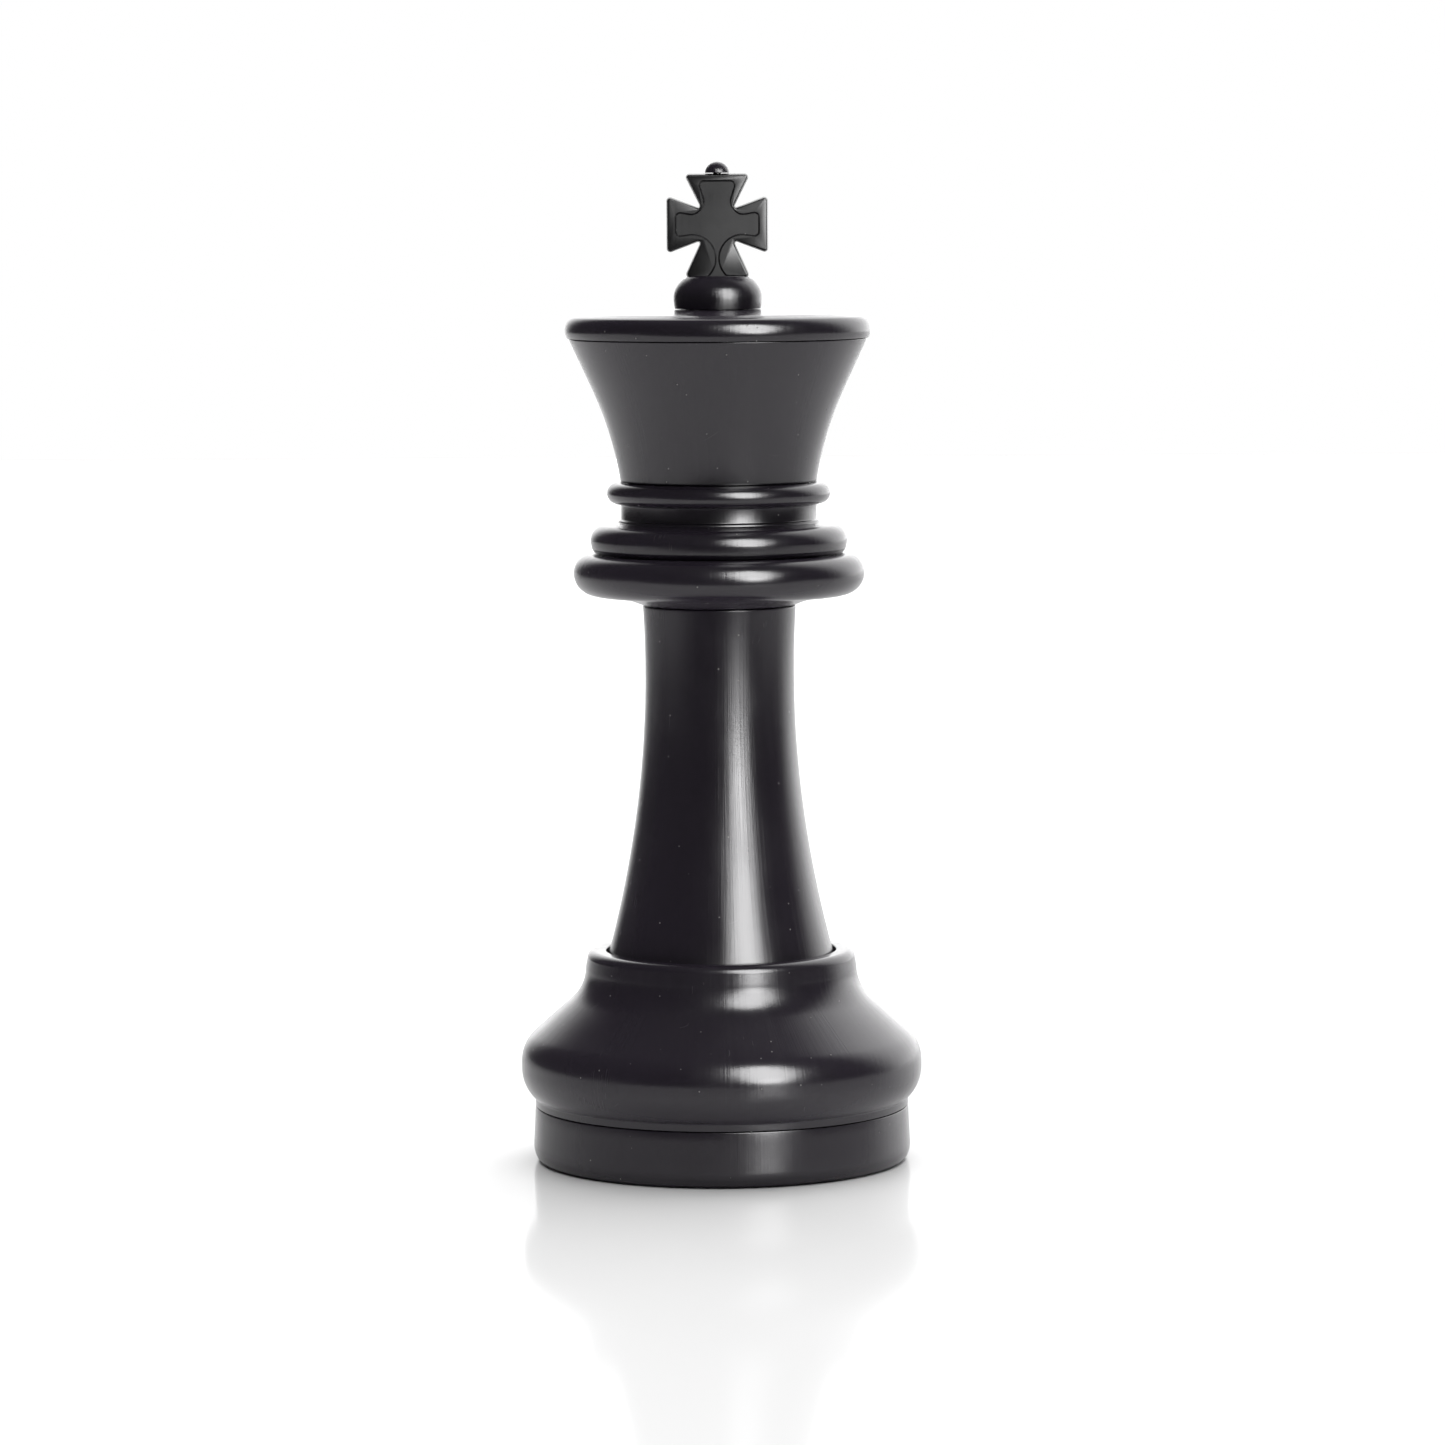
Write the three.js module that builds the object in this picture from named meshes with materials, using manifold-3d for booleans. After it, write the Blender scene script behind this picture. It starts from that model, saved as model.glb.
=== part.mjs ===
// A giant garden chess king, 16 inches tall, as an assembly of hollow black polyethylene mouldings.
// From the ground up: a foot pan and a bell-shaped base that hold sand or water, closed below by a screwed filler
// plug; a waisted stem that screws into the base; a collar and neck ring that screw onto the stem; a flared crown
// with a domed lid that pushes into the neck ring; and a finial of bulb, cross and ball that pushes into the lid.
// Millimetres, +Z up. The origin is the centre of the circle that the king stands on, and its front faces -Y.
import * as THREE from "three";
import { mergeVertices } from "three/addons/utils/BufferGeometryUtils.js";
import Module from "manifold-3d";

const wasm = await Module();
wasm.setup();

// ---------------------------------------------------------------- driving dimensions
const HEIGHT = 406.4; // 16 inches, floor to the top of the ball
const WALL = 2.6; // thickness of the moulded shells
const GAP = 0.3; // between two pieces that touch
const ROUND = 36; // segments in a turn of a large shell
const SMALL_ROUND = 28; // segments in a turn of a small piece

// Foot pan and base shell
const FOOT_R = 77; // just above the bevelled edge; the sides draw in upwards
const FOOT_TOP_R = 76.3;
const STAND_R = 72.2; // outer edge of the ring that the king stands on
const STAND_INNER_R = 63;
const FLOOR_Z = 5; // underside of the raised floor inside that ring
const SEAM_Z = 22.6; // where the pan ends and the base shell begins
const LIP_R = 74.2; // outside of the pan's upstanding lip
const LIP_TOP = 29.5;
const SKIRT_R = 74.6; // inside of the base shell's skirt, round the lip
const BULGE_LOW = { r: 65.5, z: 38, radius: 16.3 }; // centres of the two arcs of the base's bulge
const BULGE_HIGH = { r: 66.8, z: 41, radius: 15 };
const SLOPE = 48.4; // degrees, direction of the normal of the base's sloping shoulder
const HOLLOW = { r: 73.3, z: 79.4, radius: 18 }; // the concave arc between shoulder and rim
const RIM_Z = 86.3;
const RIM_ROUND = 3.6;
const RIM_R = 54.7;
const RECESS_R = 46.9; // recess in the rim that the stem stands in
const SEAT_Z = 82.2;

// Stem
const STEM_FOOT_Z = 84.2;
const STEM_TOP_Z = 227;
const WAIST = { r: 30.3, z: 200, bend: 425 }; // thinnest place, and the bend's radius

// Head
const COLLAR_Z = 227.3;
const COLLAR_LOW = { r: 50.2, z: 240.3, radius: 8.9 };
const COLLAR_HIGH = { r: 51.7, z: 240.8, radius: 7.4 };
const COLLAR_TOP = COLLAR_HIGH.z + COLLAR_HIGH.radius;
const COLLAR_MOUTH_R = 41.2;
const RING_Z = COLLAR_TOP + GAP;
const RING_ROUND = { r: 45.7, z: 253.6, radius: 6.5 };
const NECK_R = 39.8;
const BEAD = { r: 41, z: 272.8, radius: 4.4 };
const CUP_Z = BEAD.z + BEAD.radius + GAP;
const CUP_TOP = 335.2;
const FLARE = { r: 174.1, z: 257.2, radius: 135.8 }; // centre of the crown's concave side
const FLARE_END = { r: 50.7, z: 314, slope: 0.46 }; // where that side turns straight
const LID_Z = CUP_TOP + GAP;
const LID_EDGE = { r: 57.8, z: 339, across: 4.2, up: 5.5 };
const LID_LIP_R = 58.5; // the crown's lip inside the lid
const DOME_TOP = 347;
const DOME_BEND = 900;

// Finial
const BULB = { r: 17.9, z: 351.7, up: 12.1, down: 18.3 };
const BULB_Z = 347.2;
const BULB_TOP = 360.4;
const PEG_R = 7.8;
const PEG_LENGTH = 21;
const PEG_BORE_R = 8.3;
const CROSS_Z = 381.1; // centre of the cross
const CROSS_REACH = 20; // centre to the end of each arm, on the flat face
const CROSS_THICK = 9;
const CROSS_DRAFT = 0.5; // how far the sides stand out at mid thickness
const FOOT_SEAT = 1; // depth of the seat in the bulb's top that the cross stands in
const CROSS_FOOT = CROSS_Z - CROSS_DRAFT - (BULB_TOP - FOOT_SEAT + GAP); // centre to the end of the lower arm
const TANG = { width: 13, thick: 5.4, low: 351.3 };
const BALL_R = 5;
const BALL_PIN_R = 1.6;

// Screw threads: r is the plain cylinder, tip is the crest, low is the middle of the ridge at its lower end
const BASE_THREAD = { pitch: 8, turns: 1.1, foot: 3.2, crest: 1.6, segments: 34 };
const HEAD_THREAD = { pitch: 6, turns: 1.1, foot: 2.4, crest: 1.2, segments: 30 };
const PLUG_THREAD = { pitch: 4.5, turns: 1.2, foot: 1.7, crest: 0.9, segments: 28 };
const BASE_SPIGOT = { r: 41, tip: 42.6, bore: 43.2, boreTip: 41.8, end: 64.4, low: 66.8, boreLow: 70.8 };
const HEAD_SPIGOT = { r: 22.4, tip: 23.9, bore: 24.4, boreTip: 23.1, end: 243, low: 234, boreLow: 231 };
const PLUG_SPIGOT = { r: 16.2, tip: 17.7, bore: 18.3, boreTip: 16.9, end: 14.2, low: 6.9, boreLow: 9.15 };

// ---------------------------------------------------------------- materials
const plastic = (color, roughness) => new THREE.MeshStandardMaterial({ color, roughness, metalness: 0 });
const BLACK_GLOSS = plastic(0x17161a, 0.3); // the shells
const BLACK_SATIN = plastic(0x1d1c20, 0.42); // the cross and the plug
const RUBBER = plastic(0x101010, 0.8);
const ZINC = new THREE.MeshStandardMaterial({ color: 0xb4b6b8, roughness: 0.35, metalness: 1 });

// ---------------------------------------------------------------- outlines, as lists of [radius, height]
// Points on an arc from one angle to another, in degrees, both ends included.
function arc({ r, z, radius, across = radius, up = radius }, from, to, steps) {
  return Array.from({ length: steps + 1 }, (_, i) => {
    const a = THREE.MathUtils.degToRad(from + ((to - from) * i) / steps);
    return [r + across * Math.cos(a), z + up * Math.sin(a)];
  });
}

// The same arc moved inwards by the wall: a convex arc shrinks and a concave one grows.
const within = (centre, change) => ({ ...centre, radius: centre.radius + change });

const stemRadius = (z) => WAIST.r + (z - WAIST.z) ** 2 / (2 * WAIST.bend);
const domeHeight = (r) => DOME_TOP - r ** 2 / (2 * DOME_BEND);

// The crown's side: concave, then straight.
const flareRadius = (z) =>
  z < FLARE_END.z
    ? FLARE.r - Math.sqrt(FLARE.radius ** 2 - (z - FLARE.z) ** 2)
    : FLARE_END.r + FLARE_END.slope * (z - FLARE_END.z);

// Points [f(z), z] or [r, f(r)] at even steps.
const steps = (from, to, count, point) =>
  Array.from({ length: count + 1 }, (_, i) => point(from + ((to - from) * i) / count));

// ---------------------------------------------------------------- solids
// Turns an outline, given anticlockwise with radius to the right, round the Z axis.
function turn(outline, segments = ROUND) {
  const onAxis = outline[0][0] === 0;
  const closed = onAxis ? outline : [...outline, outline[0]];
  const points = closed.map(([r, z]) => new THREE.Vector2(r, z));
  return new THREE.LatheGeometry(points, segments).rotateX(Math.PI / 2);
}

function block(width, depth, height, x, y, z) {
  return new THREE.BoxGeometry(width, depth, height).translate(x, y, z + height / 2);
}

// A cylinder along Z from its lower end.
function rod(radius, low, high, segments = SMALL_ROUND) {
  return new THREE.CylinderGeometry(radius, radius, high - low, segments)
    .rotateX(Math.PI / 2)
    .translate(0, 0, (low + high) / 2);
}

// A screw thread's ridge: a trapezium that climbs right-handed round the Z axis. Its root is sunk in the wall
// by half a millimetre, and its crest runs out at both ends.
function ridge({ pitch, turns, foot, crest, segments }, wall, tip, low) {
  const sunk = wall + Math.sign(wall - tip) * 0.5;
  const count = Math.round(turns * segments);
  const runOut = 3; // steps at each end
  const positions = [];
  const triangles = [];
  for (let i = 0; i <= count; i++) {
    const share = Math.min(1, (Math.min(i, count - i) + 0.6) / runOut);
    const crestR = wall + (tip - wall) * share;
    const angle = (i / segments) * 2 * Math.PI;
    const z = low + (i / segments) * pitch;
    for (const [r, dz] of [
      [sunk, -foot / 2],
      [crestR, -crest / 2],
      [crestR, crest / 2],
      [sunk, foot / 2],
    ])
      positions.push(r * Math.cos(angle), r * Math.sin(angle), z + dz);
  }
  const quad = (a, b, c, d) => triangles.push(a, b, c, a, c, d);
  for (let i = 0; i < count; i++)
    for (let k = 0; k < 4; k++) {
      const a = 4 * i + k;
      const b = 4 * i + ((k + 1) % 4);
      quad(a, a + 4, b + 4, b);
    }
  quad(0, 1, 2, 3);
  const last = 4 * count;
  quad(last + 3, last + 2, last + 1, last);
  const outwards = tip > wall;
  const wound = outwards ? triangles : triangles.reverse();
  return new THREE.BufferGeometry()
    .setAttribute("position", new THREE.Float32BufferAttribute(positions, 3))
    .setIndex(wound);
}

// A geometry as a manifold-3d solid. Two corners at one place are merged first.
function solid(geometry) {
  const bare = geometry.clone();
  bare.deleteAttribute("normal");
  bare.deleteAttribute("uv");
  const merged = mergeVertices(bare, 1e-4);
  return new wasm.Manifold(
    new wasm.Mesh({
      numProp: 3,
      vertProperties: merged.attributes.position.array,
      triVerts: new Uint32Array(merged.index.array),
    }),
  );
}

function geometryOf(made) {
  const { numProp, vertProperties, triVerts } = made.getMesh();
  const position = new Float32Array((vertProperties.length / numProp) * 3);
  for (let i = 0; i < position.length / 3; i++)
    position.set(vertProperties.subarray(i * numProp, i * numProp + 3), i * 3);
  return new THREE.BufferGeometry()
    .setAttribute("position", new THREE.BufferAttribute(position, 3))
    .setIndex(new THREE.BufferAttribute(new Uint32Array(triVerts), 1));
}

const joined = (first, ...others) => others.reduce((all, g) => all.add(solid(g)), solid(first));
const cut = (whole, ...tools) => tools.reduce((left, g) => left.subtract(solid(g)), whole);

// ---------------------------------------------------------------- the base
// The pan: a standing ring with a bevelled edge, a raised floor with ribs and the threaded filler neck, and a thin
// lip that stands up inside the base shell.
function footPan() {
  const neckR = PLUG_SPIGOT.bore + WALL;
  const floorTop = FLOOR_Z + WALL;
  const shell = turn([
    [PLUG_SPIGOT.bore, FLOOR_Z],
    [STAND_INNER_R - 2, FLOOR_Z],
    [STAND_INNER_R, 0],
    [STAND_R, 0],
    [STAND_R + 0.7, 0.9],
    [FOOT_R - 0.7, 4.6],
    [FOOT_R, 6.6],
    [FOOT_TOP_R, SEAM_Z],
    [LIP_R, SEAM_Z],
    [LIP_R, LIP_TOP],
    [LIP_R - 2.2, LIP_TOP],
    [LIP_R - 2.2, SEAM_Z - 4],
    [FOOT_TOP_R - WALL, SEAM_Z - 7],
    [FOOT_TOP_R - WALL, floorTop + 1.5],
    [FOOT_TOP_R - WALL - 1.5, floorTop],
    [neckR, floorTop],
    [neckR, 15.6],
    [PLUG_SPIGOT.bore, 15.6],
  ]);
  const ribs = Array.from({ length: 8 }, (_, i) =>
    block(FOOT_TOP_R - neckR, 2, 5.5, (FOOT_TOP_R - WALL + neckR) / 2, 0, floorTop - 0.5).rotateZ(
      ((i + 0.5) * Math.PI) / 4,
    ),
  );
  const thread = ridge(PLUG_THREAD, PLUG_SPIGOT.bore, PLUG_SPIGOT.boreTip, PLUG_SPIGOT.boreLow);
  return geometryOf(joined(shell, thread, ...ribs));
}

// The bell above the seam, with the threaded socket for the stem hanging from its rim.
function baseShell() {
  const crease = -THREE.MathUtils.radToDeg(Math.acos((FOOT_TOP_R - BULGE_LOW.r) / BULGE_LOW.radius));
  const innerLow = within(BULGE_LOW, -WALL);
  const innerCrease = -THREE.MathUtils.radToDeg(Math.acos((SKIRT_R - innerLow.r) / innerLow.radius));
  const rimCorner = { r: RIM_R - RIM_ROUND, z: RIM_Z - RIM_ROUND, radius: RIM_ROUND };
  const shell = turn([
    [SKIRT_R, SEAM_Z + GAP],
    [FOOT_TOP_R, SEAM_Z + GAP],
    ...arc(BULGE_LOW, crease, 0, 5),
    ...arc(BULGE_HIGH, 0, SLOPE, 4),
    ...arc(HOLLOW, 180 + SLOPE, 180, 5),
    ...arc(rimCorner, 0, 90, 3),
    [RECESS_R + 0.5, RIM_Z],
    [RECESS_R, RIM_Z - 0.5],
    [RECESS_R, SEAT_Z],
    [BASE_SPIGOT.bore, SEAT_Z],
    [BASE_SPIGOT.bore, BASE_SPIGOT.end],
    [BASE_SPIGOT.bore + WALL, BASE_SPIGOT.end],
    [BASE_SPIGOT.bore + WALL, SEAT_Z - WALL],
    ...arc(within(HOLLOW, WALL), 180, 180 + SLOPE, 3),
    ...arc(within(BULGE_HIGH, -WALL), SLOPE, 0, 2),
    ...arc(innerLow, 0, innerCrease, 2),
  ]);
  const thread = ridge(BASE_THREAD, BASE_SPIGOT.bore, BASE_SPIGOT.boreTip, BASE_SPIGOT.boreLow);
  return geometryOf(joined(shell, thread));
}

// A flat rubber ring between two screwed pieces.
const washer = (inner, outer, low, high) =>
  turn(
    [
      [inner, low],
      [outer, low],
      [outer, high],
      [inner, high],
    ],
    SMALL_ROUND,
  );

// The filler plug: a flange, a threaded cup that opens downwards, and a bar across it to turn it by.
function fillPlug() {
  const flangeLow = 1.4;
  const flangeTop = 3.4;
  const cupR = PLUG_SPIGOT.r - WALL;
  const cup = turn(
    [
      [0, PLUG_SPIGOT.end - WALL],
      [cupR, PLUG_SPIGOT.end - WALL],
      [cupR, flangeLow],
      [22, flangeLow],
      [22, flangeTop],
      [PLUG_SPIGOT.r, flangeTop],
      [PLUG_SPIGOT.r, PLUG_SPIGOT.end],
      [0, PLUG_SPIGOT.end],
    ],
    SMALL_ROUND,
  );
  const bar = block(2 * cupR + 0.8, 3.6, PLUG_SPIGOT.end - WALL - 1.6, 0, 0, 1.9);
  const thread = ridge(PLUG_THREAD, PLUG_SPIGOT.r, PLUG_SPIGOT.tip, PLUG_SPIGOT.low);
  return geometryOf(joined(cup, bar, thread));
}

// ---------------------------------------------------------------- the stem
// A waisted bottle: a closed threaded spigot below, an open threaded neck above.
function stem() {
  const innerFoot = BASE_SPIGOT.r - WALL;
  const innerNeck = HEAD_SPIGOT.r - WALL;
  const shell = turn([
    [0, BASE_SPIGOT.end],
    [BASE_SPIGOT.r - 1, BASE_SPIGOT.end],
    [BASE_SPIGOT.r, BASE_SPIGOT.end + 1],
    [BASE_SPIGOT.r, STEM_FOOT_Z],
    [stemRadius(STEM_FOOT_Z) - 0.5, STEM_FOOT_Z],
    ...steps(STEM_FOOT_Z + 0.6, STEM_TOP_Z, 12, (z) => [stemRadius(z), z]),
    [HEAD_SPIGOT.r, STEM_TOP_Z],
    [HEAD_SPIGOT.r, HEAD_SPIGOT.end],
    [innerNeck, HEAD_SPIGOT.end],
    [innerNeck, STEM_TOP_Z - WALL],
    ...steps(STEM_TOP_Z - WALL, STEM_FOOT_Z + 6, 4, (z) => [stemRadius(z) - WALL, z]),
    [innerFoot, STEM_FOOT_Z],
    [innerFoot, BASE_SPIGOT.end + WALL],
    [0, BASE_SPIGOT.end + WALL],
  ]);
  const lower = ridge(BASE_THREAD, BASE_SPIGOT.r, BASE_SPIGOT.tip, BASE_SPIGOT.low);
  const upper = ridge(HEAD_THREAD, HEAD_SPIGOT.r, HEAD_SPIGOT.tip, HEAD_SPIGOT.low);
  return geometryOf(joined(shell, lower, upper));
}

// ---------------------------------------------------------------- the head
// The collar: a hollow round ring on a shallow cone, with the threaded socket for the stem's neck.
function collar() {
  const counterbore = 29.9;
  const ceiling = COLLAR_Z + 1.7;
  const floorTop = COLLAR_LOW.z - COLLAR_LOW.radius + WALL;
  const shell = turn([
    [counterbore, COLLAR_Z],
    [31.1, COLLAR_Z],
    [35.7, 229],
    [42, 230.8],
    ...arc(COLLAR_LOW, -90, 0, 5),
    ...arc(COLLAR_HIGH, 0, 90, 5),
    [COLLAR_MOUTH_R, COLLAR_TOP],
    [COLLAR_MOUTH_R, COLLAR_TOP - WALL],
    ...arc(within(COLLAR_HIGH, -WALL), 90, 0, 2),
    ...arc(within(COLLAR_LOW, -WALL), 0, -90, 2),
    [HEAD_SPIGOT.bore + WALL, floorTop],
    [HEAD_SPIGOT.bore + WALL, HEAD_SPIGOT.end + 0.8],
    [HEAD_SPIGOT.bore, HEAD_SPIGOT.end + 0.8],
    [HEAD_SPIGOT.bore, ceiling],
    [counterbore, ceiling],
  ]);
  const thread = ridge(HEAD_THREAD, HEAD_SPIGOT.bore, HEAD_SPIGOT.boreTip, HEAD_SPIGOT.boreLow);
  return geometryOf(joined(shell, thread));
}

// The neck ring: half-round ring, plain neck and bead in one shell, with a lip that drops into the collar.
function neckRing() {
  const lipR = COLLAR_MOUTH_R - 0.4;
  const innerR = NECK_R - WALL;
  return turn([
    [lipR - 2.4, COLLAR_TOP - 6],
    [lipR, COLLAR_TOP - 6],
    [lipR, RING_Z],
    [50.3, RING_Z],
    [51.6, RING_Z + 1.6],
    ...arc(RING_ROUND, 0, 90, 5),
    [NECK_R + 1, 261.1],
    [NECK_R + 1, 261.7],
    [NECK_R, 262.1],
    [NECK_R, 268.4],
    ...arc(BEAD, -90, 90, 6),
    [innerR, BEAD.z + BEAD.radius],
    [innerR, 262],
    ...arc(within(RING_ROUND, -WALL), 75, 0, 2),
    [lipR - 2.4, RING_Z + WALL],
  ]);
}

// The crown: a flared funnel with a spigot below and a lip above for the lid.
function crownCup() {
  const spigotR = NECK_R - WALL - 0.6;
  return turn([
    [spigotR - WALL, CUP_Z - 13.5],
    [spigotR, CUP_Z - 13.5],
    [spigotR, CUP_Z],
    ...steps(CUP_Z, FLARE_END.z, 7, (z) => [flareRadius(z), z]),
    [flareRadius(CUP_TOP), CUP_TOP],
    [LID_LIP_R, CUP_TOP],
    [LID_LIP_R, CUP_TOP + 4.3],
    [LID_LIP_R - 2.3, CUP_TOP + 4.3],
    [LID_LIP_R - 2.3, CUP_TOP - 1.5],
    ...steps(CUP_TOP - 6, CUP_Z + 2, 4, (z) => [flareRadius(z) - WALL - 0.4, z]),
  ]);
}

// The lid: a shallow dome with a rolled edge, and a keyed socket for the finial's peg.
function crownLid() {
  const socketR = PEG_BORE_R + WALL;
  const lid = turn([
    [LID_LIP_R + 0.6, LID_Z],
    ...arc(LID_EDGE, -39, 75, 6),
    ...steps(52, PEG_BORE_R, 3, (r) => [r, domeHeight(r)]),
    [PEG_BORE_R, BULB_Z - PEG_LENGTH - 2],
    [socketR, BULB_Z - PEG_LENGTH - 2],
    [socketR, domeHeight(socketR) - WALL],
    [50, domeHeight(50) - WALL],
    [LID_LIP_R + 0.6, 339.9],
  ]);
  const keyway = block(3, 3, 60, 0, PEG_BORE_R + 0.2, BULB_Z - 40);
  return geometryOf(cut(solid(lid), keyway));
}

// ---------------------------------------------------------------- the finial
// The bulb: an onion shape on a keyed peg, slotted on top for the cross and drilled for its screw.
function finialBulb() {
  const outline = { r: 0, z: BULB.z, across: BULB.r };
  const low = -THREE.MathUtils.radToDeg(Math.asin((BULB.z - BULB_Z) / BULB.down));
  const high = THREE.MathUtils.radToDeg(Math.asin((BULB_TOP - BULB.z) / BULB.up));
  const hollowR = 4.4;
  const hollowTop = 344;
  const body = turn(
    [
      [0, hollowTop],
      [hollowR, hollowTop],
      [hollowR, BULB_Z - PEG_LENGTH],
      [PEG_R, BULB_Z - PEG_LENGTH],
      [PEG_R, BULB_Z + 1.5],
      [14.6, BULB_Z + 1.5],
      [14.6, BULB_Z],
      ...arc({ ...outline, up: BULB.down }, low, 0, 3),
      ...arc({ ...outline, up: BULB.up }, 9, high, 5),
      [0, BULB_TOP],
    ],
    SMALL_ROUND,
  );
  const key = block(2.2, 2.4, PEG_LENGTH - 3, 0, PEG_R, BULB_Z - PEG_LENGTH + 1);
  const seat = block(3 * BULB.r, CROSS_THICK + 2 * GAP, 10, 0, 0, BULB_TOP - FOOT_SEAT);
  const slot = block(TANG.width + 0.8, TANG.thick + 0.8, 20, 0, 0, TANG.low - GAP);
  const screwHole = rod(1.9, hollowTop - 5, TANG.low + 5, 12);
  return geometryOf(cut(joined(body, key), seat, slot, screwHole));
}

// The cross's outline on its flat face, one quarter at a time: the end of an arm, then the notch beside it.
function crossShape() {
  const endHalf = { tall: 13.05, wide: 11.25 }; // half widths of the upright and level arms at their ends
  const waist = 6.7;
  const corner = 1.3;
  const quarter = (sx, sy) =>
    [
      [endHalf.tall, sy > 0 ? CROSS_REACH : CROSS_FOOT],
      [waist, waist + 0.6],
      [CROSS_REACH, endHalf.wide],
    ].map(([x, y]) => new THREE.Vector2(sx * x, sy * y));
  const corners = [
    ...quarter(1, 1),
    ...quarter(1, -1).reverse(),
    ...quarter(-1, -1),
    ...quarter(-1, 1).reverse(),
  ];
  return rounded(corners, corner);
}

// A closed shape with each corner rounded by a curve that starts and ends a given distance from it.
function rounded(corners, distance) {
  const shape = new THREE.Shape();
  corners.forEach((corner, i) => {
    const before = corners.at(i - 1);
    const after = corners[(i + 1) % corners.length];
    const start = corner.clone().add(before.clone().sub(corner).setLength(distance));
    const end = corner.clone().add(after.clone().sub(corner).setLength(distance));
    if (i === 0) shape.moveTo(start.x, start.y);
    else shape.lineTo(start.x, start.y);
    shape.quadraticCurveTo(corner.x, corner.y, end.x, end.y);
  });
  shape.closePath();
  return shape;
}

// A shape stood upright in the XZ plane, its middle on Y = 0.
function upright(shape, thick, bevel) {
  const side = bevel ? 3 : 0;
  const options = {
    depth: thick - 2 * side,
    curveSegments: 2,
    bevelEnabled: bevel > 0,
    bevelThickness: side,
    bevelSize: bevel,
    bevelSegments: 1,
  };
  return new THREE.ExtrudeGeometry(shape, options).translate(0, 0, side - thick / 2).rotateX(Math.PI / 2);
}

// The sunk panel on each face of the cross: a smaller cross whose lower arm is pinched between two round lobes.
function panelShape() {
  const lobe = { r: 10.2, z: -13.6, radius: 9.2 };
  const half = [[8.2, 17.8], [5.4, 8.6], [8.6, 4.4], [16.9, 5.3], [16.9, -5], ...arc(lobe, 90, 230, 6)];
  const right = half.map(([x, y]) => new THREE.Vector2(x, y));
  const left = half.map(([x, y]) => new THREE.Vector2(-x, y)).reverse();
  return rounded([...right, ...left], 1);
}

function cross() {
  const sunk = 0.7;
  const reach = CROSS_REACH + CROSS_DRAFT;
  const plate = upright(crossShape(), CROSS_THICK, CROSS_DRAFT).translate(0, 0, CROSS_Z);
  const tangTop = CROSS_Z - CROSS_FOOT + 1.5;
  const tang = block(TANG.width, TANG.thick, tangTop - TANG.low, 0, 0, TANG.low);
  const panel = upright(panelShape(), 2 * sunk, 0);
  const front = panel.clone().translate(0, -CROSS_THICK / 2, CROSS_Z);
  const back = panel.clone().translate(0, CROSS_THICK / 2, CROSS_Z);
  const pinHole = rod(BALL_PIN_R + GAP, CROSS_Z + reach - 6, CROSS_Z + reach + 1, 12);
  const screwHole = rod(1.8, TANG.low - 1, TANG.low + 12, 12);
  return geometryOf(cut(joined(plate, tang), front, back, pinHole, screwHole));
}

// The ball: the top of a sphere on a short pin.
function ball() {
  const centre = HEIGHT - BALL_R;
  const seat = CROSS_Z + CROSS_REACH + CROSS_DRAFT + GAP;
  const low = THREE.MathUtils.radToDeg(Math.asin((seat - centre) / BALL_R));
  return turn(
    [
      [0, seat - 5],
      [BALL_PIN_R, seat - 5],
      [BALL_PIN_R, seat],
      ...arc({ r: 0, z: centre, radius: BALL_R }, low, 90, 6).slice(0, -1),
      [0, HEIGHT],
    ],
    SMALL_ROUND,
  );
}

// The screw that draws the cross down into the bulb, driven from inside the peg.
function crossScrew() {
  const under = 343.7;
  return turn(
    [
      [0, under - 1],
      [1.2, under - 2.2],
      [3, under - 2.2],
      [3.6, under - 1.4],
      [3.6, under],
      [1.5, under],
      [1.5, 360.5],
      [0, 362],
    ],
    16,
  );
}

// ---------------------------------------------------------------- assembly
const king = new THREE.Group();

function add(name, geometry, material, parent = king) {
  const mesh = new THREE.Mesh(geometry, material);
  mesh.name = name;
  parent.add(mesh);
}

const base = new THREE.Group();
add("foot_pan", footPan(), BLACK_GLOSS, base);
add("base_shell", baseShell(), BLACK_GLOSS, base);
add("plug_washer", washer(18.6, 21.6, 3.7, 4.7), RUBBER, base);
add("fill_plug", fillPlug(), BLACK_SATIN, base);

const column = new THREE.Group();
add("stem_washer", washer(43.4, 46.4, SEAT_Z + GAP, STEM_FOOT_Z - GAP), RUBBER, column);
add("stem", stem(), BLACK_GLOSS, column);

const head = new THREE.Group();
add("head_washer", washer(24.7, 29.4, STEM_TOP_Z + GAP, STEM_TOP_Z + 1.7), RUBBER, head);
add("collar", collar(), BLACK_GLOSS, head);
add("neck_ring", neckRing(), BLACK_GLOSS, head);

const crown = new THREE.Group();
add("crown_cup", crownCup(), BLACK_GLOSS, crown);
add("crown_lid", crownLid(), BLACK_GLOSS, crown);

const finial = new THREE.Group();
add("finial_bulb", finialBulb(), BLACK_GLOSS, finial);
add("cross", cross(), BLACK_SATIN, finial);
add("ball", ball(), BLACK_GLOSS, finial);
add("cross_screw", crossScrew(), ZINC, finial);

king.add(base, column, head, crown, finial);

export default king;
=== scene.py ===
"""The looks of the giant chess king: lathed mouldings of black polyethylene on a glossy white table.

Every shell is a fine surface of revolution that stands for its CAD node and rides on the same body. Outlines
are lists of (radius, height) in millimetres, anticlockwise, with an optional third number: the radius that
rounds that corner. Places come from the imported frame's boxes.
"""
import math

import bmesh
import bpy
import numpy as np
from mathutils import Matrix, Vector, noise


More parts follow.
